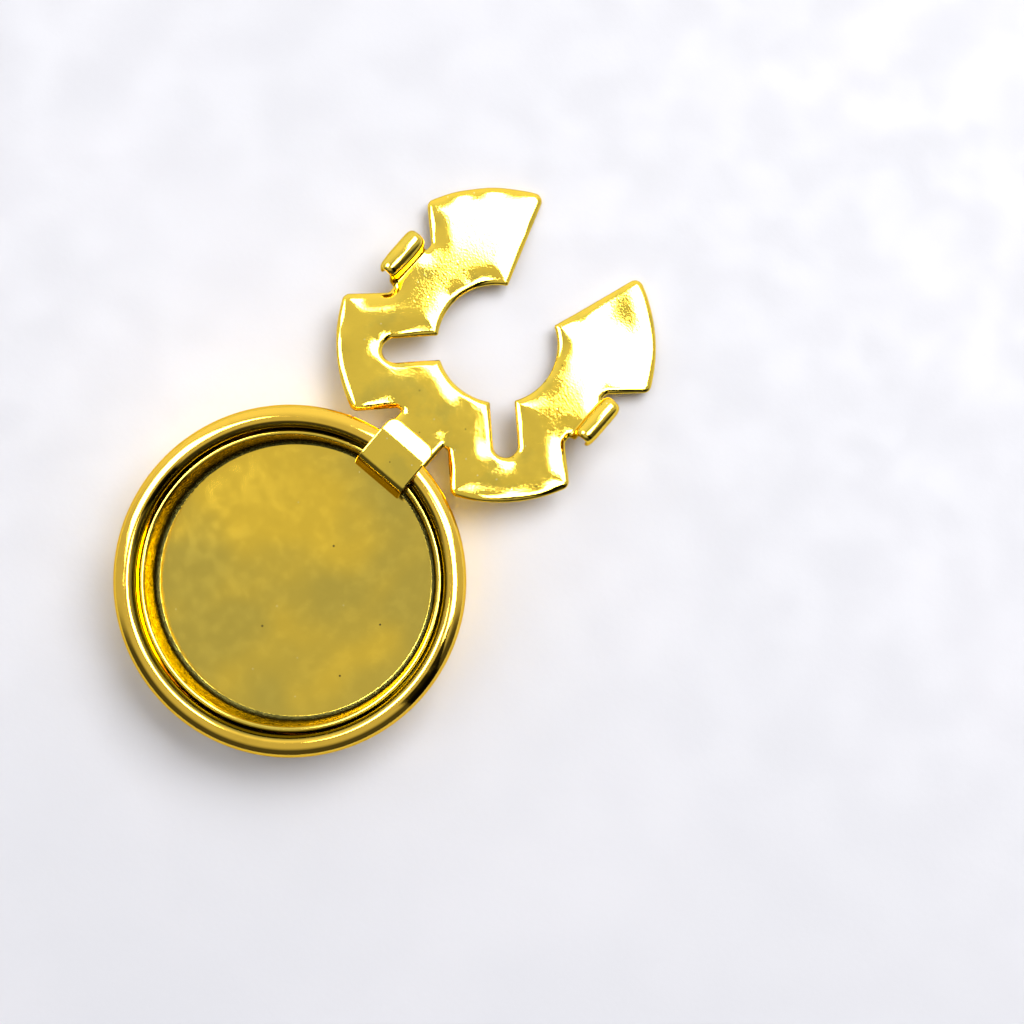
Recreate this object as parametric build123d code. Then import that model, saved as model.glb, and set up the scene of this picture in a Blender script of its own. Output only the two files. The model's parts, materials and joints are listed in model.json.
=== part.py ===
"""Hinged round capsule: a shallow lined tray whose slotted back plate swings on the tray's beaded rim.

Frame: millimetres. The origin is the centre of the flat front face, which lies on the table. +Z points out
of the tray's mouth and +Y points from the tray's centre to the hinge. The parts are written out with the
back plate open, lying beyond the hinge with its two far wings on the table.
"""
from build123d import *
import math
import os

# Rim ring: a drawn band, curled in over the front cap at its foot and rolled into a bead at its mouth
OUTER_DIAMETER = 18.0
BEAD_RADIUS = 0.58
BEAD_HEIGHT = 3.30
BEAD_CREST_RADIUS = 8.27
BAND_OUTER_RADIUS = 8.75
BAND_INNER_RADIUS = 8.40
BAND_FOOT_RADIUS = 0.60
FOOT_HEIGHT = 0.10
FOOT_LIP_RADIUS = 8.15

# Front cap: a shallow dish with a stepped edge that the ring's foot holds
CAP_FACE_RADIUS = 8.10
CAP_STEP_HEIGHT = 0.34
CAP_HEIGHT = 0.75
CAP_SHEET = 0.40
CAP_RIB_WIDTH = 1.40
CAP_EDGE_FILLET = 0.15

# Tray liner: a drawn cup that stands on the cap and comes up just inside the bead
LINER_SHEET = 0.35
LINER_MOUTH_RADIUS = 7.44
LINER_FLOOR_RADIUS = 7.36
LINER_LIP_HEIGHT = 3.20
LINER_CORNER_FILLET = 0.25
LINER_LIP_WIDTH = 0.33
LIP_ROUNDING = 0.45

# Back plate: one stamped sheet with four wings, a keyhole, two catches and the hinge tongue
PLATE_SHEET = 0.34
PLATE_RADIUS = 8.40
PLATE_SETBACK = 0.20
HOLE_RADIUS = 3.15
MOUTH_START_ANGLE = 30.7
MOUTH_END_ANGLE = 23.0
SLOT_WIDTH = 1.30
SLOT_REACH = 6.05
SLOT_ANGLE = 44.5
NOTCH_REACH = 6.03
NOTCH_HALF_WIDTH = 1.70
NOTCH_FLARE = 44.0
TAB_ROOT = 0.50
WING_CORNER_RADIUS = 0.45
NOTCH_CORNER_RADIUS = 0.24
MOUTH_CORNER_RADIUS = 0.10

# Catches: two tabs of the plate bent into sprung U hooks that stand inside the tray's mouth
HOOK_WIDTH = 2.59
HOOK_TIP_RADIUS = 7.18
HOOK_GAP = 0.46
HOOK_BENDS = (0.42, 0.22, 0.22)
HOOK_TURNS = (-1, 1, 1)
HOOK_TIP_CORNER = 0.35
HOOK_DEPTH = 1.60
HOOK_TIP_DROP = 0.62

# Hinge tongue: a tab of the plate curled loosely round the bead, through a window in the ring
TONGUE_WIDTH = 2.87
HINGE_CLEARANCE = 0.68
WINDOW_WIDTH = 3.04
WINDOW_SILL = 1.60
CURL_REACH = 1.78
CURL_FOOT = (1.33, -0.80)
CURL_RIDGE = (-0.45, -1.12)
CURL_TIP = (-1.42, -0.96)
CURL_BENDS = (0.68, 0.55, 0.80)
CURL_TURNS = (-1, -1, -1)
CURL_TIP_CORNER = 0.55

# Worked out from the dimensions above
BEAD_RING_RADIUS = OUTER_DIAMETER / 2 - BEAD_RADIUS
BEAD_INNER_AT_TONGUE = math.sqrt((BEAD_RING_RADIUS - BEAD_RADIUS) ** 2 - (TONGUE_WIDTH / 2) ** 2)
HINGE_Y = (OUTER_DIAMETER / 2 + BEAD_INNER_AT_TONGUE) / 2
HINGE_AXIS = Axis((0, HINGE_Y, BEAD_HEIGHT), (1, 0, 0))
PLATE_BOTTOM = BEAD_HEIGHT + HINGE_CLEARANCE
PLATE_TOP = PLATE_BOTTOM + PLATE_SHEET
FAR = 2 * OUTER_DIAMETER


def revolved(face):
    """Turn a half section drawn in the XZ plane once round +Z."""
    return revolve(face, Axis.Z, 360)


def hinge_window(top):
    """Block that clears the swing of the curled tongue, from the window's sill up to the given height."""
    height = top - WINDOW_SILL
    depth = BEAD_RING_RADIUS - NOTCH_REACH + 1
    return Pos(0, BEAD_RING_RADIUS, WINDOW_SILL + height / 2) * Box(WINDOW_WIDTH, depth, height)


def rim_ring():
    """Band with its foot curled in under the cap, and the bead that is also the hinge pin."""
    round_start = (BAND_OUTER_RADIUS, FOOT_HEIGHT + BAND_FOOT_RADIUS)
    round_end = (BAND_OUTER_RADIUS - BAND_FOOT_RADIUS, FOOT_HEIGHT)
    outline = [
        Line((BAND_OUTER_RADIUS, BEAD_HEIGHT), round_start),
        RadiusArc(round_start, round_end, BAND_FOOT_RADIUS),
        Polyline(
            round_end,
            (FOOT_LIP_RADIUS, CAP_STEP_HEIGHT),
            (BAND_INNER_RADIUS, CAP_STEP_HEIGHT),
            (BAND_INNER_RADIUS, BEAD_HEIGHT),
            (BAND_OUTER_RADIUS, BEAD_HEIGHT),
        ),
    ]
    band = revolved(Plane.XZ * make_face(outline))
    crest = (BEAD_CREST_RADIUS, BEAD_HEIGHT)
    outer_half_width = BEAD_RING_RADIUS + BEAD_RADIUS - BEAD_CREST_RADIUS
    inner_half_width = BEAD_CREST_RADIUS - BEAD_RING_RADIUS + BEAD_RADIUS
    bead_outline = [
        EllipticalCenterArc(crest, outer_half_width, BEAD_RADIUS, 0, arc_size=90),
        EllipticalCenterArc(crest, inner_half_width, BEAD_RADIUS, 90, arc_size=90),
        CenterArc((BEAD_RING_RADIUS, BEAD_HEIGHT), BEAD_RADIUS, 180, 180),
    ]
    bead = revolved(Plane.XZ * make_face(bead_outline))
    return band - hinge_window(BEAD_HEIGHT) + bead


def front_cap():
    """Dish with a flat front face, a step for the ring's foot, and a rim that carries the liner."""
    outline = Polyline(
        (0, 0),
        (CAP_FACE_RADIUS, 0),
        (CAP_FACE_RADIUS, CAP_STEP_HEIGHT),
        (BAND_INNER_RADIUS, CAP_STEP_HEIGHT),
        (BAND_INNER_RADIUS, CAP_HEIGHT),
        (BAND_INNER_RADIUS - CAP_RIB_WIDTH, CAP_HEIGHT),
        (BAND_INNER_RADIUS - CAP_RIB_WIDTH, CAP_SHEET),
        (0, CAP_SHEET),
        close=True,
    )
    cap = revolved(Plane.XZ * make_face(outline))
    front_edge = cap.edges().group_by(Axis.Z)[0]
    return fillet(front_edge, CAP_EDGE_FILLET)


def tray_liner():
    """Cup with a flat floor, a slightly flared wall, and a round lip notched at the hinge."""
    floor_top = CAP_HEIGHT + LINER_SHEET
    outline = Polyline(
        (0, CAP_HEIGHT),
        (LINER_FLOOR_RADIUS + LINER_LIP_WIDTH, CAP_HEIGHT),
        (LINER_MOUTH_RADIUS + LINER_LIP_WIDTH, LINER_LIP_HEIGHT),
        (LINER_MOUTH_RADIUS, LINER_LIP_HEIGHT),
        (LINER_FLOOR_RADIUS, floor_top),
        (0, floor_top),
        close=True,
    )
    cup = revolved(Plane.XZ * make_face(outline))
    corners = cup.edges().filter_by(GeomType.CIRCLE)
    floor_corner = corners.filter_by(lambda edge: abs(edge.center().Z - floor_top) < 0.01)
    foot_corner = corners.filter_by(lambda edge: abs(edge.center().Z - CAP_HEIGHT) < 0.01)
    cup = fillet(floor_corner + foot_corner, LINER_CORNER_FILLET)
    cup = fillet(cup.edges().group_by(Axis.Z)[-1], LIP_ROUNDING * LINER_LIP_WIDTH)
    return cup - hinge_window(LINER_LIP_HEIGHT + 1)


def notch(direction):
    """Flared notch that frees a tab from the wings beside it, opening away from the plate's centre."""
    mouth_half_width = NOTCH_HALF_WIDTH + (FAR - NOTCH_REACH) * math.tan(math.radians(NOTCH_FLARE))
    outline = Polyline(
        (NOTCH_REACH, -NOTCH_HALF_WIDTH),
        (NOTCH_REACH, NOTCH_HALF_WIDTH),
        (FAR, mouth_half_width),
        (FAR, -mouth_half_width),
        close=True,
    )
    return Rot(0, 0, direction) * make_face(outline)


def keyhole_mouth():
    """Opening that lets a thread shank in from the plate's edge to the round hole."""
    start = math.radians(MOUTH_START_ANGLE)
    end = math.radians(MOUTH_END_ANGLE)
    inner = (HOLE_RADIUS * math.sin(start), -HOLE_RADIUS * math.cos(start))
    outer = (PLATE_RADIUS * math.sin(end), -PLATE_RADIUS * math.cos(end))
    grow = 1.5
    beyond = tuple(i + grow * (o - i) for i, o in zip(inner, outer))
    outline = Polyline((-inner[0], inner[1]), inner, beyond, (-beyond[0], beyond[1]), close=True)
    return make_face(outline)


def relief_slot(direction):
    """Round-ended slot that runs outward from the hole."""
    straight = SLOT_REACH - SLOT_WIDTH / 2
    slot = Pos(straight / 2, 0) * Rectangle(straight, SLOT_WIDTH) + Pos(straight, 0) * Circle(SLOT_WIDTH / 2)
    return Rot(0, 0, direction) * slot


def plate_outline():
    """Plan of the flat part of the plate about its own centre, with the keyhole's mouth towards -Y."""
    plan = Circle(PLATE_RADIUS) - Circle(HOLE_RADIUS) - keyhole_mouth()
    for direction in (90 - SLOT_ANGLE, 90 + SLOT_ANGLE):
        plan -= relief_slot(direction)
    for direction in (0, 90, 180):
        plan -= notch(direction)
    wing_corners = plan.vertices().filter_by(lambda v: abs(math.hypot(v.X, v.Y) - PLATE_RADIUS) < 0.01)
    plan = fillet(wing_corners, WING_CORNER_RADIUS)
    notch_radius = math.hypot(NOTCH_REACH, NOTCH_HALF_WIDTH)
    notch_corners = plan.vertices().filter_by(lambda v: abs(math.hypot(v.X, v.Y) - notch_radius) < 0.01)
    plan = fillet(notch_corners, NOTCH_CORNER_RADIUS)
    mouth_corners = plan.vertices().filter_by(lambda v: abs(math.hypot(v.X, v.Y) - HOLE_RADIUS) < 0.02)
    return fillet(mouth_corners, MOUTH_CORNER_RADIUS)


def right_of(points, distance):
    """Corners of the line that runs parallel to a polyline, at a distance to its right."""
    path = [Vector(*point) for point in points]
    headings = [(after - before).normalized() for before, after in zip(path, path[1:])]
    headings = [headings[0]] + headings + [headings[-1]]
    corners = []
    for point, before, after in zip(path, headings, headings[1:]):
        across = Vector(before.Y + after.Y, -before.X - after.X)
        corners.append(point + across * (distance / (1 + before.dot(after))))
    return corners


def bent_strip(points, bends, turns, width, tip_corner):
    """Strip of the plate's sheet below a path in the YZ plane, whose bends turn down (-1) or up (+1)."""
    under_bends = [bend + turn * PLATE_SHEET for bend, turn in zip(bends, turns)]
    under_points = right_of(points, PLATE_SHEET)
    over = FilletPolyline(*points, radius=list(bends))
    under = FilletPolyline(*under_points, radius=under_bends)
    root = Line(points[0], under_points[0])
    tip = Line(points[-1], under_points[-1])
    section = Plane.YZ * make_face(over.edges() + under.edges() + root.edges() + tip.edges())
    strip = extrude(section, width / 2, both=True)
    tip_middle = Vector(0, *points[-1])
    through_sheet = strip.edges().filter_by(lambda edge: abs(edge.length - PLATE_SHEET) < 0.001)
    tip_corners = through_sheet.sort_by(lambda edge: (edge.center() - tip_middle).length)[:2]
    return fillet(tip_corners, tip_corner)


def sprung_hook(direction):
    """Tab bent down off the plate's edge, round a U, and up again just inside the tray's lip."""
    inside_far = HOOK_TIP_RADIUS - PLATE_SHEET
    inside_near = inside_far - HOOK_GAP
    inside_low = PLATE_BOTTOM - HOOK_DEPTH + PLATE_SHEET
    points = [
        (NOTCH_REACH - TAB_ROOT, PLATE_TOP),
        (inside_near, PLATE_TOP),
        (inside_near, inside_low),
        (inside_far, inside_low),
        (inside_far, PLATE_TOP - HOOK_TIP_DROP),
    ]
    return Rot(0, 0, direction) * bent_strip(points, HOOK_BENDS, HOOK_TURNS, HOOK_WIDTH, HOOK_TIP_CORNER)


def hinge_tongue():
    """Tab that passes over the bead, turns down outside the ring and back in through the window."""
    top = HINGE_CLEARANCE + PLATE_SHEET
    root = NOTCH_REACH + PLATE_SETBACK - TAB_ROOT - HINGE_Y
    points = [(root, top), (CURL_REACH, top), CURL_FOOT, CURL_RIDGE, CURL_TIP]
    tongue = bent_strip(points, CURL_BENDS, CURL_TURNS, TONGUE_WIDTH, CURL_TIP_CORNER)
    return Pos(0, HINGE_Y, BEAD_HEIGHT) * tongue


def closed_back_plate():
    """The whole plate as it lies when it is shut over the tray."""
    flat = Pos(0, PLATE_SETBACK, PLATE_BOTTOM) * extrude(plate_outline(), PLATE_SHEET)
    plate = flat + hinge_tongue()
    for direction in (-90, 90):
        plate += Pos(0, PLATE_SETBACK, 0) * sprung_hook(direction)
    return plate


def open_angle(plate):
    """Degrees that the shut plate turns about the hinge until its far wings touch the table."""
    reach = HINGE_Y - plate.bounding_box().min.Y
    height = PLATE_TOP - BEAD_HEIGHT
    droop = math.asin(BEAD_HEIGHT / math.hypot(reach, height)) - math.atan2(height, reach)
    return 180 + math.degrees(droop)


def main():
    shut_plate = closed_back_plate()
    angle = open_angle(shut_plate)
    parts = {
        "front_cap": front_cap(),
        "rim_ring": rim_ring(),
        "tray_liner": tray_liner(),
        "back_plate": shut_plate.rotate(HINGE_AXIS, -angle),
    }
    os.makedirs("parts", exist_ok=True)
    for name, shape in parts.items():
        export_step(shape, f"parts/{name}.step")
    print(f"the back plate shuts {angle:.3f} degrees from rest, about y = {HINGE_Y:.4f}, z = {BEAD_HEIGHT}")


main()
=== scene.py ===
"""Gold hinged capsule, open on its front: a lined tray with a beaded rim and its winged back plate."""

import json
import math

import bmesh
import bpy
from mathutils import Matrix, Vector, geometry, kdtree, noise


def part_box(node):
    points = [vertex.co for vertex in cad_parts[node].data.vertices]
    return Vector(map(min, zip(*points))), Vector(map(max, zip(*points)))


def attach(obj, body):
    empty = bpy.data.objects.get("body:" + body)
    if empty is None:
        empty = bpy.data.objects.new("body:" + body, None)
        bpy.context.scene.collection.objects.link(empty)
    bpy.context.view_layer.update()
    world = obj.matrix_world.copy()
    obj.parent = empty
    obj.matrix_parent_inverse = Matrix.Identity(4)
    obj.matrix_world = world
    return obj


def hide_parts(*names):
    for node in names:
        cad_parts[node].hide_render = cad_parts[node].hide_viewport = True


MM = 0.001

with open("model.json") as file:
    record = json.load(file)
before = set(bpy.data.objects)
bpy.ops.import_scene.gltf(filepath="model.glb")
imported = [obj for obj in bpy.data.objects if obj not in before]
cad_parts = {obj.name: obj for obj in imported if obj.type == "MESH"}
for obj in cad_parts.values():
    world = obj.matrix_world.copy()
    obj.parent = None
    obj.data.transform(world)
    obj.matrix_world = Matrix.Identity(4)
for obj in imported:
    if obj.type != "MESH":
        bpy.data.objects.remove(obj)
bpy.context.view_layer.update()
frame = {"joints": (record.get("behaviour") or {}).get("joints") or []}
hinge = frame["joints"][0]
hinge_y = hinge["pos_m"][1] / MM
hinge_z = hinge["pos_m"][2] / MM
open_angle = hinge["range_deg"][1]
ring_low, ring_high = (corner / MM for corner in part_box("rim_ring"))
cap_low, cap_high = (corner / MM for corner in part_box("front_cap"))
liner_low, liner_high = (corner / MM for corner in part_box("tray_liner"))

# Rim ring, front cap and tray liner, in mm
RIM_RADIUS = ring_high.x
BEAD_RADIUS = ring_high.z - hinge_z
BEAD_RING_RADIUS = RIM_RADIUS - BEAD_RADIUS
BEAD_CREST = 8.27
BEAD_INNER = RIM_RADIUS - 2 * BEAD_RADIUS
BAND_OUTER = 8.75
BAND_INNER = 8.40
FOOT_ROUNDING = 0.60
FOOT_HEIGHT = 0.10
FOOT_LIP = 8.15
CAP_STEP = 0.34
CAP_SHEET = 0.40
CAP_RIB_WIDTH = 1.40
CAP_FACE_RADIUS = 8.10
FACE_ROUNDING = 0.15
FACE_RINGS = (2, 4, 6)
ON_AXIS = 1e-6
SHEET = 0.34
FLOOR_TOP = liner_low.z + 0.35
MOUTH_RADIUS = 7.44
FLOOR_RADIUS = 7.36
LIP_WIDTH = 0.33
LIP_ROUNDING = 0.148
LINER_CORNER = 0.25
HOLD = 0.01
WINDOW_HALF_WIDTH = 1.52
WINDOW_SILL = 1.60

# Back plate, in mm, about its own centre with the keyhole's mouth towards -Y
PLATE_RADIUS = 8.40
PLATE_SETBACK = 0.20
PLATE_CLEARANCE = 0.68
HOLE_RADIUS = 3.15
MOUTH_START = 30.7
MOUTH_END = 23.0
SLOT_HALF_WIDTH = 0.65
SLOT_REACH = 6.05
SLOT_ANGLE = 44.5
NOTCH_REACH = 6.03
NOTCH_HALF_WIDTH = 1.70
NOTCH_FLARE = 44.0
TAB_ROOT = 0.50
WING_CORNER = 0.45
NOTCH_CORNER = 0.24
MOUTH_CORNER = 0.12
SLOT_CORNER = 0.12
TAB_CORNER = 0.10

# Catches and hinge tongue: paths of the sheet's outer face, in mm
PLATE_TOP = hinge_z + PLATE_CLEARANCE + SHEET
HOOK_HALF_WIDTH = 1.295
HOOK_PATH = ((5.53, PLATE_TOP), (6.38, PLATE_TOP), (6.38, 2.72), (6.84, 2.72), (6.84, PLATE_TOP - 0.62))
HOOK_BENDS = (0.42, 0.22, 0.22)
HOOK_TURNS = (-1, 1, 1)
HOOK_TIP_CORNER = 0.35
TONGUE_HALF_WIDTH = 1.435
TONGUE_CORNERS = ((1.78, PLATE_CLEARANCE + SHEET), (1.33, -0.80), (-0.45, -1.12), (-1.42, -0.96))
TONGUE_BENDS = (0.68, 0.55, 0.80)
TONGUE_TURNS = (-1, -1, -1)
TONGUE_TIP_CORNER = 0.55

# Finish of the sheet's edges and its gentle unevenness, in mm; the sag, dome and waves aren't measured, but
# fitted so that highlights fall where the photograph has them
ROLL_WIDTH = 0.34
ROLL_DROP = 0.16
SAG_WIDTH = 1.20
SAG_DROP = 0.075
DOME_MIDDLE = -4.6
DOME_SPREAD = 2.0
DOME_HEIGHT = 0.12
BURR_WIDTH = 0.08
BURR_DROP = 0.06
WAVE_SIZE = 3.2
WAVE_HEIGHT = 0.026
FLOOR_WAVE_SIZE = 3.2
FLOOR_WAVE_HEIGHT = 0.0015
FLOOR_CALM_WIDTH = 0.6
FLOOR_FADE_WIDTH = 1.5
SAG_PATCH = 1.4
SAG_UNEVENNESS = 1.2

COLUMNS = 480
OUTLINE_STEP = 0.06
GRID_STEP = 0.24
ROW_STEP = 0.035
ACROSS_STEP = 0.15
FLOOR_RING_STEP = 0.25
EDGE_RING_ANGLES = (14, 28, 40, 52, 63, 73, 82, 90)

# Colours and places of the finishes
# Centre of a painted patch of light on the tray's floor, in mm
FLOOR_LIGHT_PATCH = (-4.1, 2.4)
EDGE_GOLD = (0.86, 0.66, 0.22, 1)


def arc(centre, radius, start, end, steps):
    """Points on an arc of a circle, from one angle to another in degrees."""
    angles = [math.radians(start + (end - start) * i / steps) for i in range(steps + 1)]
    return [(centre[0] + radius * math.cos(a), centre[1] + radius * math.sin(a)) for a in angles]


def finish_mesh(name, bm, sharp=40):
    """Object of a bmesh given in mm, smooth shaded but for its sharp edges."""
    bmesh.ops.remove_doubles(bm, verts=bm.verts, dist=1e-5)
    bmesh.ops.recalc_face_normals(bm, faces=bm.faces)
    mesh = bpy.data.meshes.new(name)
    bm.to_mesh(mesh)
    bm.free()
    mesh.transform(Matrix.Scale(MM, 4))
    mesh.shade_smooth()
    mesh.set_sharp_from_angle(angle=math.radians(sharp))
    piece = bpy.data.objects.new(name, mesh)
    bpy.context.scene.collection.objects.link(piece)
    return piece


def turn(bm, section, closed, sill=None, wave=None):
    """Turn a half section of (radius, height) about Z; above the sill, leave the hinge window open."""
    middle_radius = section[len(section) // 2][0]
    half_window = round(math.asin(WINDOW_HALF_WIDTH / middle_radius) / (2 * math.pi / COLUMNS))
    rows = []
    for column in range(COLUMNS):
        angle = 2 * math.pi * column / COLUMNS
        points = []
        for radius, height in section:
            x, y = radius * math.sin(angle), radius * math.cos(angle)
            if sill is not None and column in (half_window, COLUMNS - half_window) and height >= sill:
                x = math.copysign(WINDOW_HALF_WIDTH, x)
                y = math.sqrt(radius ** 2 - x ** 2)
            lift = wave(x, y, height) if wave else 0
            points.append(bm.verts.new((x, y, height + lift)))
        rows.append(points)
    edges = list(zip(range(len(section)), range(1, len(section))))
    if closed:
        edges.append((len(section) - 1, 0))
    upper = [i for i, (_, height) in enumerate(section) if sill is not None and height >= sill]
    for column in range(COLUMNS):
        a, b = rows[column], rows[(column + 1) % COLUMNS]
        in_window = column < half_window or column >= COLUMNS - half_window
        for i, j in edges:
            if sill is not None and in_window and i in upper and j in upper:
                continue
            bm.faces.new((a[i], a[j], b[j], b[i]))
        if sill is not None and in_window:
            bm.faces.new((a[upper[0]], a[upper[-1]], b[upper[-1]], b[upper[0]]))
    if sill is not None:
        for column in (half_window, COLUMNS - half_window):
            bm.faces.new([rows[column][i] for i in upper])


def make_ring():
    bm = bmesh.new()
    foot = arc((BAND_OUTER - FOOT_ROUNDING, FOOT_HEIGHT + FOOT_ROUNDING), FOOT_ROUNDING, 0, -90, 12)
    section = [(BAND_INNER, WINDOW_SILL), (BAND_INNER, hinge_z)]
    section += [(BAND_OUTER, hinge_z), (BAND_OUTER, WINDOW_SILL)] + foot
    section += [(FOOT_LIP, CAP_STEP), (BAND_INNER, CAP_STEP)]
    turn(bm, section, True, WINDOW_SILL)
    bead = []
    for across, up in arc((0, 0), 1, 0, 180, 40):
        half_width = RIM_RADIUS - BEAD_CREST if across > 0 else BEAD_CREST - BEAD_INNER
        bead.append((BEAD_CREST + half_width * across, hinge_z + BEAD_RADIUS * up))
    bead += arc((BEAD_RING_RADIUS, hinge_z), BEAD_RADIUS, 180, 360, 32)[1:-1]
    turn(bm, bead, True)
    return finish_mesh("beaded_ring", bm)


def make_cap():
    bm = bmesh.new()
    step = CAP_FACE_RADIUS
    rib = BAND_INNER - CAP_RIB_WIDTH
    edge = arc((step - FACE_ROUNDING, FACE_ROUNDING), FACE_ROUNDING, -90, 0, 6)
    section = [(ON_AXIS, 0)] + [(r, 0) for r in FACE_RINGS] + edge
    section += [(step, CAP_STEP), (BAND_INNER, CAP_STEP), (BAND_INNER, cap_high.z)]
    section += [(rib, cap_high.z), (rib, CAP_SHEET), (ON_AXIS, CAP_SHEET)]
    turn(bm, section, False)
    return finish_mesh("front_face", bm)


def floor_wave(x, y, height):
    """Gentle unevenness of the tray's floor, which dies out at its corner."""
    if height > FLOOR_TOP + 0.001 or height < FLOOR_TOP - 0.001:
        return 0
    fade = max(0, min(1, (FLOOR_RADIUS - FLOOR_CALM_WIDTH - math.hypot(x, y)) / FLOOR_FADE_WIDTH))
    return FLOOR_WAVE_HEIGHT * fade * noise.noise(Vector((x, y, 7.0)) / FLOOR_WAVE_SIZE)


def make_liner():
    bm = bmesh.new()
    flat = FLOOR_RADIUS - LINER_CORNER
    steps = range(1, int(flat / FLOOR_RING_STEP))
    radii = [ON_AXIS] + [FLOOR_RING_STEP * i for i in steps] + [flat - HOLD]
    section = [(r, FLOOR_TOP) for r in radii]
    section += arc((flat, FLOOR_TOP + LINER_CORNER), LINER_CORNER, -90, 0, 8)
    foot_z, lip_z = FLOOR_TOP + LINER_CORNER, liner_high.z - LIP_ROUNDING
    slope = (MOUTH_RADIUS - FLOOR_RADIUS) / (lip_z - foot_z)
    heights = (foot_z + HOLD, WINDOW_SILL, lip_z - HOLD)
    wall = [(FLOOR_RADIUS + slope * (z - foot_z), z) for z in heights]
    section += wall
    middle = MOUTH_RADIUS + LIP_WIDTH / 2
    section += arc((middle, lip_z), LIP_WIDTH / 2, 180, 0, 16)
    section += [(radius + LIP_WIDTH, z) for radius, z in reversed(wall)]
    foot = FLOOR_RADIUS + LIP_WIDTH - LINER_CORNER
    section += arc((foot, liner_low.z + LINER_CORNER), LINER_CORNER, 0, -90, 8)
    section.append((ON_AXIS, liner_low.z))
    turn(bm, section, False, WINDOW_SILL, floor_wave)
    return finish_mesh("tray_cup", bm)


def side(start, end):
    """Points from one point to another, a step apart."""
    steps = max(1, round(math.dist(start, end) / OUTLINE_STEP))
    return [tuple(Vector(start).lerp(Vector(end), i / steps)) for i in range(steps + 1)]


def round_side(radius, start, end):
    """Points on a circle about the plate's centre, a step apart."""
    steps = max(1, round(abs(math.radians(end - start)) * radius / OUTLINE_STEP))
    return arc((0, 0), radius, start, end, steps)


def trim(points, distance):
    """Cut a length off the start of a line of points."""
    points = list(points)
    while len(points) > 2 and math.dist(points[0], points[1]) <= distance:
        distance -= math.dist(points[0], points[1])
        points.pop(0)
    share = min(0.9, distance / math.dist(points[0], points[1]))
    points[0] = tuple(Vector(points[0]).lerp(Vector(points[1]), share))
    return points


def rounded_loop(sides, radii):
    """Closed outline of sides, with the corner before each side rounded to a radius."""
    sides = [list(s) for s in sides]
    corners = []
    for i, radius in enumerate(radii):
        before, after = sides[i - 1], sides[i]
        corner = Vector(after[0])
        back = (corner - Vector(before[-2])).normalized()
        ahead = (Vector(after[1]) - corner).normalized()
        turning = back.angle(ahead)
        cut = radius * math.tan(turning / 2)
        corners.append((corner, cut, turning))
    for i, (corner, cut, turning) in enumerate(corners):
        sides[i] = trim(sides[i], cut)
        sides[i - 1] = trim(sides[i - 1][::-1], cut)[::-1]
    loop = []
    for i, (corner, cut, turning) in enumerate(corners):
        start, end = Vector(sides[i - 1][-1]), Vector(sides[i][0])
        weight = math.cos(turning / 2)
        steps = max(4, round(math.degrees(turning) / 9))
        for k in range(1, steps):
            t = k / steps
            a, b, c = (1 - t) ** 2, 2 * t * (1 - t) * weight, t ** 2
            loop.append(tuple((start * a + corner * b + end * c) / (a + b + c)))
        loop += sides[i]
    return loop


def turned_point(x, y, angle):
    """Point turned about the plate's centre."""
    c, s = math.cos(math.radians(angle)), math.sin(math.radians(angle))
    return (x * c - y * s, x * s + y * c)


class BentStrip:
    """The middle of the sheet along a tab: straight runs and bends in the plane that the tab lies in."""

    def __init__(self, path, bends, turns):
        corners = [Vector(p) for p in path]
        headings = [(b - a).normalized() for a, b in zip(corners, corners[1:])]
        before = [headings[0]] + headings
        after = headings + [headings[-1]]
        middle = []
        for point, h, k in zip(corners, before, after):
            middle.append(point + Vector((h.y + k.y, -h.x - k.x)) * (SHEET / 2 / (1 + h.dot(k))))
        self.parts = []
        place = middle[0]
        self.length = 0
        for i, (bend, way) in enumerate(zip(bends, turns)):
            radius = bend + way * SHEET / 2
            turning = headings[i].angle(headings[i + 1])
            cut = radius * math.tan(turning / 2)
            run = (middle[i + 1] - place).length - cut
            self.add(place, headings[i], run, 0)
            start = place + headings[i] * run
            self.add(start, headings[i], radius * turning, way / radius)
            place = middle[i + 1] + headings[i + 1] * cut
        self.add(place, headings[-1], (middle[-1] - place).length, 0)

    def add(self, place, heading, length, curve):
        self.parts.append((self.length, length, place, heading, curve))
        self.length += length

    def at(self, distance):
        """Middle point and upward direction of the sheet at a distance along the strip."""
        start, length, place, heading, curve = [p for p in self.parts if p[0] <= max(0, distance)][-1]
        run = distance - start
        if not curve:
            return place + heading * run, Vector((-heading.y, heading.x))
        angle = curve * run
        c, s = math.cos(angle), math.sin(angle)
        ahead = Vector((heading.x * c - heading.y * s, heading.x * s + heading.y * c))
        left = Vector((-heading.y, heading.x))
        return place + (left - Vector((-ahead.y, ahead.x))) / curve, Vector((-ahead.y, ahead.x))


hook_strip = BentStrip(HOOK_PATH, HOOK_BENDS, HOOK_TURNS)
ROOT = NOTCH_REACH - TAB_ROOT
tongue_root = ROOT + PLATE_SETBACK - hinge_y
tongue_path = [(tongue_root, PLATE_CLEARANCE + SHEET)] + list(TONGUE_CORNERS)
tongue_strip = BentStrip(tongue_path, TONGUE_BENDS, TONGUE_TURNS)
TABS = (
    (0, HOOK_HALF_WIDTH, HOOK_TIP_CORNER, hook_strip),
    (90, TONGUE_HALF_WIDTH, TONGUE_TIP_CORNER, tongue_strip),
    (180, HOOK_HALF_WIDTH, HOOK_TIP_CORNER, hook_strip),
)


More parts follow.
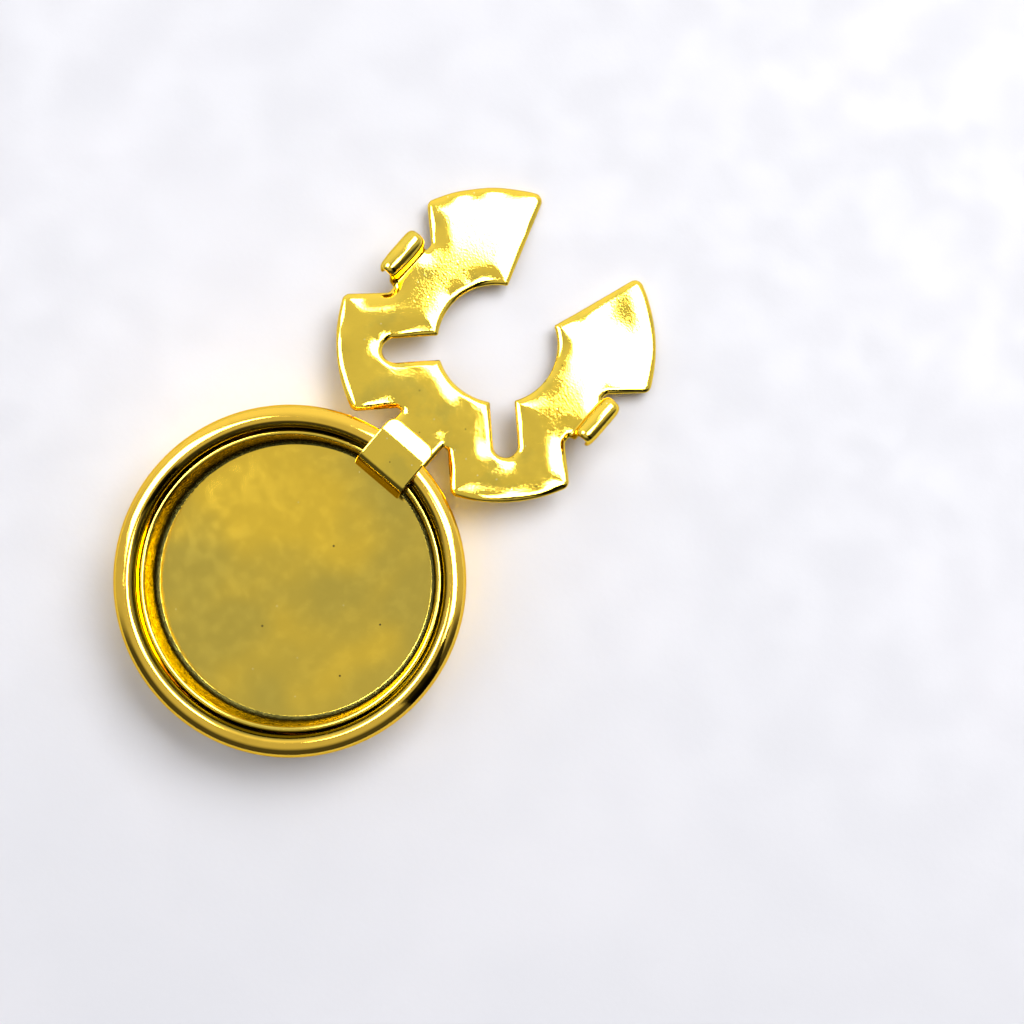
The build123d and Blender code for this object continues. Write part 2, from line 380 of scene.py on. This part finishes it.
def blank_outline():
    """Outline of the flat blank, before its tabs are bent."""
    flare = math.tan(math.radians(NOTCH_FLARE))
    rise = NOTCH_HALF_WIDTH - NOTCH_REACH * flare
    a, b, c = 1 + flare ** 2, 2 * flare * rise, rise ** 2 - PLATE_RADIUS ** 2
    edge_x = (-b + math.sqrt(b * b - 4 * a * c)) / (2 * a)
    edge_angle = math.degrees(math.atan2(rise + flare * edge_x, edge_x))
    edge_y = rise + flare * edge_x
    sides, radii = [], []
    last = -90 + MOUTH_END
    for angle, half, tip_corner, strip in TABS:
        tip = ROOT + strip.length
        sides.append(round_side(PLATE_RADIUS, last, angle - edge_angle))
        radii.append(WING_CORNER)
        corners = [(edge_x, -edge_y), (NOTCH_REACH, -NOTCH_HALF_WIDTH), (NOTCH_REACH, -half), (tip, -half),
                   (tip, half), (NOTCH_REACH, half), (NOTCH_REACH, NOTCH_HALF_WIDTH), (edge_x, edge_y)]
        corners = [turned_point(x, y, angle) for x, y in corners]
        sides += [side(p, q) for p, q in zip(corners, corners[1:])]
        radii += [WING_CORNER, NOTCH_CORNER, TAB_CORNER, tip_corner, tip_corner, TAB_CORNER, NOTCH_CORNER]
        last = angle + edge_angle
    sides.append(round_side(PLATE_RADIUS, last, 270 - MOUTH_END))
    radii.append(WING_CORNER)
    start, end = math.radians(MOUTH_START), math.radians(MOUTH_END)
    inner = (HOLE_RADIUS * math.sin(start), -HOLE_RADIUS * math.cos(start))
    outer = (PLATE_RADIUS * math.sin(end), -PLATE_RADIUS * math.cos(end))
    sides.append(side((-outer[0], outer[1]), (-inner[0], inner[1])))
    radii.append(WING_CORNER)
    slot_turn = math.degrees(math.asin(SLOT_HALF_WIDTH / HOLE_RADIUS))
    slot_end = SLOT_REACH - SLOT_HALF_WIDTH
    slot_start = math.sqrt(HOLE_RADIUS ** 2 - SLOT_HALF_WIDTH ** 2)
    last = 270 - MOUTH_START
    corner = MOUTH_CORNER
    for angle in (90 + SLOT_ANGLE, 90 - SLOT_ANGLE):
        sides.append(round_side(HOLE_RADIUS, last, angle + slot_turn))
        radii.append(corner)
        out = side((slot_start, SLOT_HALF_WIDTH), (slot_end, SLOT_HALF_WIDTH))
        bend = arc((slot_end, 0), SLOT_HALF_WIDTH, 90, -90, 36)
        back = side((slot_end, -SLOT_HALF_WIDTH), (slot_start, -SLOT_HALF_WIDTH))
        sides.append([turned_point(x, y, angle) for x, y in out[:-1] + bend + back[1:]])
        radii.append(SLOT_CORNER)
        last = angle - slot_turn
        corner = SLOT_CORNER
    sides.append(round_side(HOLE_RADIUS, last, -90 + MOUTH_START))
    radii.append(SLOT_CORNER)
    sides.append(side(inner, outer))
    radii.append(MOUTH_CORNER)
    return rounded_loop(sides, radii)


def inside(point, loop):
    """Whether a point is inside a closed outline."""
    x, y = point
    hit = False
    for (ax, ay), (bx, by) in zip(loop, loop[1:] + loop[:1]):
        if (ay > y) != (by > y) and x < (bx - ax) * (y - ay) / (by - ay) + ax:
            hit = not hit
    return hit


def roll(distance, width, drop):
    """How far a face has fallen at a distance from the sheet's edge."""
    if distance >= width:
        return 0
    return drop * (1 - math.sqrt(max(0, 1 - (1 - distance / width) ** 2)))


def make_plate():
    loop = blank_outline()
    count = len(loop)
    tree = kdtree.KDTree(count)
    for i, (x, y) in enumerate(loop):
        tree.insert((x, y, 0), i)
    tree.balance()

    def edge_distance(x, y):
        """Distance from a point to the outline."""
        _, i, _ = tree.find((x, y, 0))
        best = 1e9
        for j in (i - 1, i):
            a, b = Vector(loop[j % count]), Vector(loop[(j + 1) % count])
            along = max(0, min(1, (Vector((x, y)) - a).dot(b - a) / (b - a).length_squared))
            best = min(best, (a.lerp(b, along) - Vector((x, y))).length)
        return best

    points = [Vector(p) for p in loop]
    rings = [ROLL_WIDTH * (1 - math.cos(math.radians(a))) for a in EDGE_RING_ANGLES]
    for depth in rings + [1.25 * ROLL_WIDTH]:
        for i in range(count):
            before, after = Vector(loop[i - 1]), Vector(loop[(i + 1) % count])
            ahead = (after - before).normalized()
            point = Vector(loop[i]) + Vector((-ahead.y, ahead.x)) * depth
            if edge_distance(point.x, point.y) > depth * 0.985:
                points.append(point)
    reach = ROOT + max(strip.length for _, _, _, strip in TABS)
    steps = int(reach / GRID_STEP)
    for i in range(-steps, steps + 1):
        for j in range(-steps, steps + 1):
            x, y = GRID_STEP * (i + 0.5 * (j % 2)), GRID_STEP * 0.866 * j
            in_tab = any(abs(turned_point(x, y, -a)[1]) < half and turned_point(x, y, -a)[0] > ROOT
                         for a, half, _, _ in TABS)
            if in_tab or not inside((x, y), loop) or edge_distance(x, y) < 1.4 * ROLL_WIDTH:
                continue
            points.append(Vector((x, y)))
    for angle, half, _, strip in TABS:
        rows = int(strip.length / ROW_STEP)
        across = int(half / ACROSS_STEP)
        for i in range(rows):
            for j in range(-across, across + 1):
                x, y = turned_point(ROOT + ROW_STEP * (i + 0.5), half * j / (across + 0.5), angle)
                if edge_distance(x, y) > 1.3 * ROLL_WIDTH and inside((x, y), loop):
                    points.append(Vector((x, y)))
    ring_edges = [(i, (i + 1) % count) for i in range(count)]
    verts, _, faces, _, _, _ = geometry.delaunay_2d_cdt(points, ring_edges, [], 1, 1e-6)

    def place(x, y, height):
        """Where a point of the blank, a height above the sheet's middle, is on the bent and shut plate."""
        for angle, half, _, strip in TABS:
            out, across = turned_point(x, y, -angle)
            if out > ROOT and abs(across) < half + 0.02:
                middle, up = strip.at(out - ROOT)
                spot = middle + up * height
                if angle == 90:
                    return Vector((x, hinge_y + spot.x, hinge_z + spot.y))
                px, py = turned_point(spot.x, across, angle)
                return Vector((px, py + PLATE_SETBACK, spot.y))
        return Vector((x, y + PLATE_SETBACK, PLATE_TOP - SHEET / 2 + height))

    bm = bmesh.new()
    outer_face, inner_face = [], []
    for v in verts:
        x, y = v
        depth = edge_distance(x, y)
        wave = WAVE_HEIGHT * noise.noise(Vector((x, y, 3.0)) / WAVE_SIZE)
        if x > 0:
            wave += DOME_HEIGHT * math.exp(-((y - DOME_MIDDLE) / DOME_SPREAD) ** 2)
        sag = 0
        if depth < SAG_WIDTH:
            uneven = 1 + SAG_UNEVENNESS * noise.noise(Vector((x, y, 11.0)) / SAG_PATCH)
            sag = SAG_DROP * uneven * (1 - depth / SAG_WIDTH) ** 2
        outer = SHEET / 2 - roll(depth, BURR_WIDTH, BURR_DROP)
        inner = -SHEET / 2 + roll(depth, ROLL_WIDTH, ROLL_DROP)
        outer_face.append(bm.verts.new(place(x, y, outer + wave)))
        inner_face.append(bm.verts.new(place(x, y, inner + sag + wave)))
    bound = set()
    for face in faces:
        bm.faces.new([outer_face[i] for i in face])
        bm.faces.new([inner_face[i] for i in reversed(face)])
        for a, b in zip(face, face[1:] + face[:1]):
            bound.add((a, b))
    for a, b in [e for e in bound if (e[1], e[0]) not in bound]:
        bm.faces.new((outer_face[b], outer_face[a], inner_face[a], inner_face[b]))
    pivot = Matrix.Translation((0, hinge_y, hinge_z))
    bm.transform(pivot @ Matrix.Rotation(math.radians(-open_angle), 4, "X") @ pivot.inverted())
    return finish_mesh("winged_plate", bm, 75)


ring = make_ring()
cap = make_cap()
liner = make_liner()
plate = make_plate()


def calculate(nodes, links, operation, first, second=0.0):
    """Math node of two values or sockets."""
    node = nodes.new("ShaderNodeMath")
    node.operation = operation
    for socket, value in zip(node.inputs, (first, second)):
        if isinstance(value, (int, float)):
            socket.default_value = value
        else:
            links.new(value, socket)
    return node.outputs[0]


def ramp(nodes, links, value, low, high, at_low=0.0, at_high=1.0):
    """Smooth step of a value from low to high."""
    node = nodes.new("ShaderNodeMapRange")
    node.interpolation_type = "SMOOTHSTEP"
    links.new(value, node.inputs["Value"])
    for socket, number in zip(node.inputs[1:5], (low, high, at_low, at_high)):
        socket.default_value = number
    return node.outputs[0]


class Finish:
    """A metal whose colour, roughness and bumps vary over the piece, in mm."""

    def __init__(self, name, metallic=1.0):
        self.material = bpy.data.materials.new(name)
        self.material.use_nodes = True
        self.nodes, self.links = self.material.node_tree.nodes, self.material.node_tree.links
        self.shader = self.nodes["Principled BSDF"]
        self.shader.inputs["Metallic"].default_value = metallic
        if metallic:
            self.shader.inputs["Specular Tint"].default_value = EDGE_GOLD
        self.place = self.nodes.new("ShaderNodeTexCoord").outputs["Object"]
        self.normal = None

    def mapped(self, size, turn=0):
        """Coordinates in units of a size in mm, which may differ along X, Y and Z, after a turn about Z."""
        node = self.nodes.new("ShaderNodeMapping")
        sizes = size if isinstance(size, tuple) else (size, size, size)
        turned = self.place
        if turn:
            spin = self.nodes.new("ShaderNodeMapping")
            spin.inputs["Rotation"].default_value = (0, 0, math.radians(turn))
            self.links.new(self.place, spin.inputs["Vector"])
            turned = spin.outputs[0]
        node.inputs["Scale"].default_value = tuple(1 / (MM * length) for length in sizes)
        self.links.new(turned, node.inputs["Vector"])
        return node.outputs[0]

    def cloud(self, size, detail=2.0, rough=0.5, turn=0):
        """Noise between 0 and 1 with features of a size in mm."""
        node = self.nodes.new("ShaderNodeTexNoise")
        node.inputs["Scale"].default_value = 1
        node.inputs["Detail"].default_value = detail
        node.inputs["Roughness"].default_value = rough
        self.links.new(self.mapped(size, turn), node.inputs["Vector"])
        return node.outputs["Fac"]

    def specks(self, spacing, radius, share):
        """Sparse round spots in plan: 1 in a spot, 0 between."""
        node = self.nodes.new("ShaderNodeTexVoronoi")
        node.voronoi_dimensions = "2D"
        node.inputs["Scale"].default_value = 1
        self.links.new(self.mapped(spacing), node.inputs["Vector"])
        near = self.ramp(node.outputs["Distance"], radius / spacing, 0.5 * radius / spacing)
        pick = self.nodes.new("ShaderNodeSeparateColor")
        self.links.new(node.outputs["Color"], pick.inputs[0])
        return self.math("MULTIPLY", near, self.math("LESS_THAN", pick.outputs[0], share))

    def height(self):
        """Height above the table in mm."""
        node = self.nodes.new("ShaderNodeSeparateXYZ")
        self.links.new(self.mapped(1.0), node.inputs[0])
        return node.outputs["Z"]

    def radius(self, centre=(0, 0)):
        """Distance in plan from the tray's axis, or from another point, in mm."""
        flat = self.nodes.new("ShaderNodeVectorMath")
        flat.operation = "MULTIPLY_ADD"
        self.links.new(self.mapped(1.0), flat.inputs[0])
        flat.inputs[1].default_value = (1, 1, 0)
        flat.inputs[2].default_value = (-centre[0], -centre[1], 0)
        node = self.nodes.new("ShaderNodeVectorMath")
        node.operation = "LENGTH"
        self.links.new(flat.outputs[0], node.inputs[0])
        return node.outputs["Value"]

    def math(self, operation, first, second=0.0):
        return calculate(self.nodes, self.links, operation, first, second)

    def ramp(self, value, low, high, at_low=0.0, at_high=1.0):
        return ramp(self.nodes, self.links, value, low, high, at_low, at_high)

    def bump(self, height, depth):
        """Raise the surface by a height between 0 and 1, times a depth in mm."""
        node = self.nodes.new("ShaderNodeBump")
        node.inputs["Distance"].default_value = depth * MM
        self.links.new(height, node.inputs["Height"])
        if self.normal:
            self.links.new(self.normal, node.inputs["Normal"])
        self.normal = node.outputs[0]
        self.links.new(self.normal, self.shader.inputs["Normal"])

    def tint(self, parts):
        """Colour from a base and (amount socket, colour) layers over it."""
        (_, colour), rest = parts[0], parts[1:]
        last = None
        for amount, layer in rest:
            mix = self.nodes.new("ShaderNodeMix")
            mix.data_type = "RGBA"
            if last:
                self.links.new(last, mix.inputs["A"])
            else:
                mix.inputs["A"].default_value = (*colour, 1)
            mix.inputs["B"].default_value = (*layer, 1)
            self.links.new(amount, mix.inputs["Factor"])
            last = mix.outputs["Result"]
        self.links.new(last, self.shader.inputs["Base Color"])

    def roughness(self, value):
        self.links.new(value, self.shader.inputs["Roughness"])


def rim_finish(name):
    """Mirror-polished plating: faint orange peel, hairlines and a few dull spots, with painted shade in the
    groove inside the bead.
    """
    look = Finish(name)
    dull = look.ramp(look.cloud(1.1, 3), 0.55, 0.75)
    # Painted shade: the base colour turns dark in the groove inside the bead; the front face, which shares
    # this finish, is dark all over inside that radius.
    groove_shade = look.ramp(look.radius(), BEAD_INNER + 0.30, BEAD_INNER + 0.12)
    look.tint([(None, (0.94, 0.60, 0.07)), (dull, (0.86, 0.55, 0.06)), (groove_shade, (0.16, 0.145, 0.03))])
    look.roughness(look.ramp(look.cloud(0.5, 4), 0.3, 0.8, 0.03, 0.12))
    look.bump(look.cloud(1.6, 1), 0.010)
    look.bump(look.cloud(0.12, 3), 0.0006)
    look.bump(look.cloud((0.05, 1.6, 0.05), 2, turn=35), 0.0005)
    return look.material


def liner_finish(name):
    """Bright floor with soft clouds, specks and a painted patch of light, and a drawn, pitted wall darkened
    by painted shade, as are its corner and the groove outside the lip.
    """
    look = Finish(name)
    wall = look.ramp(look.radius(), FLOOR_RADIUS - 0.27, FLOOR_RADIUS - 0.20)
    under_lip = look.ramp(look.height(), liner_high.z - 0.10, liner_high.z - 0.18)
    wall = look.math("MULTIPLY", wall, under_lip)
    # Painted light: a patch round a fixed spot on the floor lifts the lighter clouds of the floor's colour
    painted_light_patch = look.ramp(look.radius(FLOOR_LIGHT_PATCH), 6.5, 1.5)
    bright = look.ramp(look.math("ADD", look.cloud(3.4, 1), look.math("MULTIPLY", painted_light_patch, 0.45)), 0.40, 0.95)
    pits = look.ramp(look.cloud(0.16, 4, 0.7), 0.42, 0.60)
    dark = look.specks(2.3, 0.07, 0.20)
    light = look.specks(1.3, 0.04, 0.12)
    # Painted shade on the wall, broken into darker mottles by noise
    wall_shade_mottle = look.math("MULTIPLY", wall, look.ramp(look.cloud(0.5, 4, 0.7), 0.45, 0.62))
    # Painted shade in the groove outside the lip, on the liner's outer side
    groove_shade = look.ramp(look.radius(), MOUTH_RADIUS + 0.27, MOUTH_RADIUS + 0.31)
    # Painted shade in the corner between floor and wall
    corner = look.math("MULTIPLY", look.ramp(look.radius(), FLOOR_RADIUS - 0.26, FLOOR_RADIUS - 0.22),
                       look.ramp(look.height(), FLOOR_TOP + 0.30, FLOOR_TOP + 0.18))
    # Colour layers: lighter clouds lifted by the painted patch of light, the metal's own light and dark
    # specks, then painted shade on the wall, in its mottles, in its corner and in the groove
    look.tint([(None, (0.68, 0.51, 0.080)), (bright, (1.0, 0.67, 0.065)), (light, (1.0, 0.85, 0.4)),
               (dark, (0.12, 0.09, 0.03)), (wall, (0.22, 0.18, 0.010)), (wall_shade_mottle, (0.065, 0.058, 0.005)),
               (corner, (0.05, 0.043, 0.01)), (groove_shade, (0.035, 0.032, 0.006))])
    look.roughness(look.math("ADD", look.ramp(look.cloud(0.7, 3), 0.3, 0.7, 0.06, 0.13),
                             look.math("MULTIPLY", wall, 0.16)))
    look.bump(look.cloud(2.2, 1), 0.0012)
    look.bump(look.cloud(0.10, 2), 0.0003)
    look.bump(look.math("MULTIPLY", pits, wall), 0.012)
    look.bump(look.math("MULTIPLY", look.cloud((2.0, 2.0, 0.10), 2), wall), 0.012)
    return look.material


def plate_finish(name):
    """Tumbled plating: fine dents that sparkle, slanting scratches, specks and stains, with painted shade
    on its parts inside the tray.
    """
    look = Finish(name)
    stain = look.ramp(look.cloud(1.8, 3), 0.48, 0.70)
    dark = look.specks(1.5, 0.045, 0.30)
    bright = look.specks(0.9, 0.04, 0.22)
    # Painted shade: the plate's parts inside the tray's mouth and below the hinge's axis, where the tongue
    # curls in, are darkened
    shade_inside_tray = look.math("MULTIPLY", look.ramp(look.radius(), MOUTH_RADIUS + 0.2, MOUTH_RADIUS - 0.2),
                     look.ramp(look.height(), hinge_z + 0.3, hinge_z - 0.3))
    look.tint([(None, (0.94, 0.66, 0.075)), (stain, (0.78, 0.58, 0.08)), (bright, (1.0, 0.9, 0.5)),
               (dark, (0.25, 0.18, 0.03)), (shade_inside_tray, (0.24, 0.21, 0.045))])
    look.roughness(look.ramp(look.cloud(0.35, 4), 0.3, 0.75, 0.035, 0.075))
    look.bump(look.cloud(1.3, 2), 0.0014)
    look.bump(look.cloud(0.11, 2, 0.6), 0.0026)
    look.bump(look.cloud((0.03, 1.4, 0.5), 2, turn=-12), 0.0003)
    return look.material


def table_finish(name):
    """Matt lavender-white card with a faint unevenness."""
    look = Finish(name, 0)
    shade = look.ramp(look.cloud(14, 3), 0.4, 0.75)
    look.tint([(None, (0.79, 0.79, 0.845)), (shade, (0.82, 0.815, 0.87))])
    look.roughness(look.ramp(look.cloud(3, 2), 0.3, 0.7, 0.55, 0.7))
    look.bump(look.cloud(0.6, 3), 0.01)
    return look.material


for piece, body, node, slot, finish in (
    (ring, "tray", "rim_ring", "polished_rim", rim_finish("rim_gold")),
    (cap, "tray", "front_cap", "polished_face", rim_finish("face_gold")),
    (liner, "tray", "tray_liner", "stamped_liner", liner_finish("liner_gold")),
    (plate, "plate", "back_plate", "tumbled_plate", plate_finish("plate_gold")),
):
    piece.data.materials.append(finish)
    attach(piece, body)
    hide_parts(node)

# Floor
bm = bmesh.new()
bmesh.ops.create_circle(bm, cap_ends=True, radius=900, segments=96)
table = finish_mesh("table", bm)
table.data.materials.append(table_finish("table_white"))


# Studio: directions are degrees from straight up, to the camera's right and towards the top of its view
TURN = 40.5
VIEW_RIGHT = Vector((math.cos(math.radians(TURN)), math.sin(math.radians(TURN)), 0))
VIEW_TOP = Vector((-VIEW_RIGHT.y, VIEW_RIGHT.x, 0))
LAMP_DISTANCE = 600
LAMP_AIM = Vector((0, 8, 1))


def towards(right, top):
    """Unit vector that leans by these angles from straight up."""
    lean = VIEW_RIGHT * math.tan(math.radians(right)) + VIEW_TOP * math.tan(math.radians(top))
    return (lean + Vector((0, 0, 1))).normalized()


def softbox(name, right, top, across, along, radiance, seen_by):
    """Area light facing the part, lit for glossy or for diffuse rays only.

    across is its span in degrees round the vertical, and along its span in tilt from straight up.
    """
    lamp = bpy.data.lights.new(name, "AREA")
    lamp.shape = "RECTANGLE"
    lamp.size = 2 * LAMP_DISTANCE * math.tan(math.radians(across / 2)) * MM
    lamp.size_y = 2 * LAMP_DISTANCE * math.tan(math.radians(along / 2)) * MM
    lamp.energy = radiance * math.pi * lamp.size * lamp.size_y
    holder = bpy.data.objects.new(name, lamp)
    way = towards(right, top)
    holder.location = (LAMP_AIM + way * LAMP_DISTANCE) * MM
    holder.rotation_euler = way.to_track_quat("Z", "Y").to_euler()
    holder.visible_diffuse = seen_by == "diffuse"
    holder.visible_glossy = seen_by == "glossy"
    bpy.context.scene.collection.objects.link(holder)


world = bpy.data.worlds.new("studio")
bpy.context.scene.world = world
world.use_nodes = True
nodes, links = world.node_tree.nodes, world.node_tree.links
direction = nodes.new("ShaderNodeTexCoord").outputs["Generated"]


def facing(way):
    """Cosine of the angle between the sky's direction and a fixed one."""
    node = nodes.new("ShaderNodeVectorMath")
    node.operation = "DOT_PRODUCT"
    links.new(direction, node.inputs[0])
    node.inputs[1].default_value = way
    return node.outputs["Value"]


SKY = 0.62
SKY_FOR_DIFFUSE_RAYS = 0.48
CARD_WAY = Vector((0.72, 0.694))
height = facing((0, 0, 1))
top_side = ramp(nodes, links, facing(VIEW_TOP), 0.15, 0.8, 1.0, 1.7)
low = ramp(nodes, links, height, 0.60, 0.90, 1.0, 0.0)
dark_side = ramp(nodes, links, facing(-VIEW_TOP), 0.08, 0.34, 0.0, 0.88)
shade = calculate(nodes, links, "SUBTRACT", 1.0, calculate(nodes, links, "MULTIPLY", low, dark_side))
off_card = calculate(nodes, links, "ABSOLUTE", facing(VIEW_RIGHT * CARD_WAY.y + VIEW_TOP * CARD_WAY.x))
card_strip = ramp(nodes, links, off_card, 0.12, 0.16, 0.97, 0.0)
lean = ramp(nodes, links, facing(VIEW_RIGHT * CARD_WAY.x - VIEW_TOP * CARD_WAY.y), 0.22, 0.32)
past_card = calculate(nodes, links, "SUBTRACT", 1.0, calculate(nodes, links, "MULTIPLY", card_strip, lean))
level = calculate(nodes, links, "MULTIPLY", calculate(nodes, links, "MULTIPLY", top_side, shade), past_card)
level = calculate(nodes, links, "MULTIPLY", level, SKY)
matt = nodes.new("ShaderNodeLightPath").outputs["Is Diffuse Ray"]
dimmed = ramp(nodes, links, matt, 0.0, 1.0, 1.0, SKY_FOR_DIFFUSE_RAYS)
level = calculate(nodes, links, "MULTIPLY", level, dimmed)
background = nodes["Background"]
background.inputs["Color"].default_value = (1, 1, 1, 1)
links.new(level, background.inputs["Strength"])
softbox("right_gloss", 26.5, 25.2, 34, 21.3, 18, "glossy")
softbox("low_gloss", 20, 0, 18, 22, 18, "glossy")
softbox("left_gloss", -29, 17, 22, 28, 18, "glossy")
softbox("right_fill", 31, 29.5, 44, 32, 6.0, "diffuse")
softbox("left_fill", -35, 0, 50, 50, 0.6, "diffuse")

# Camera: straight down from 80 mm above the hinge's axis, turned so that the hinge is at the upper right
CAMERA_HEIGHT = 83.3
CAMERA_PLACE = (7.475, 8.683)
VIEW_WIDTH = 52.21
VIEW_SHIFT = 0.034
SENSOR_WIDTH = 36
camera_data = bpy.data.cameras.new("camera")
camera = bpy.data.objects.new("camera", camera_data)
bpy.context.scene.collection.objects.link(camera)
camera.location = (CAMERA_PLACE[0] * MM, CAMERA_PLACE[1] * MM, CAMERA_HEIGHT * MM)
camera.rotation_euler = (0, 0, math.radians(TURN))
camera_data.sensor_width = SENSOR_WIDTH
camera_data.lens = SENSOR_WIDTH * (CAMERA_HEIGHT - hinge_z) / VIEW_WIDTH
camera_data.shift_y = VIEW_SHIFT
camera_data.clip_start = 0.001
bpy.context.scene.camera = camera
bpy.context.scene.view_settings.view_transform = "Standard"
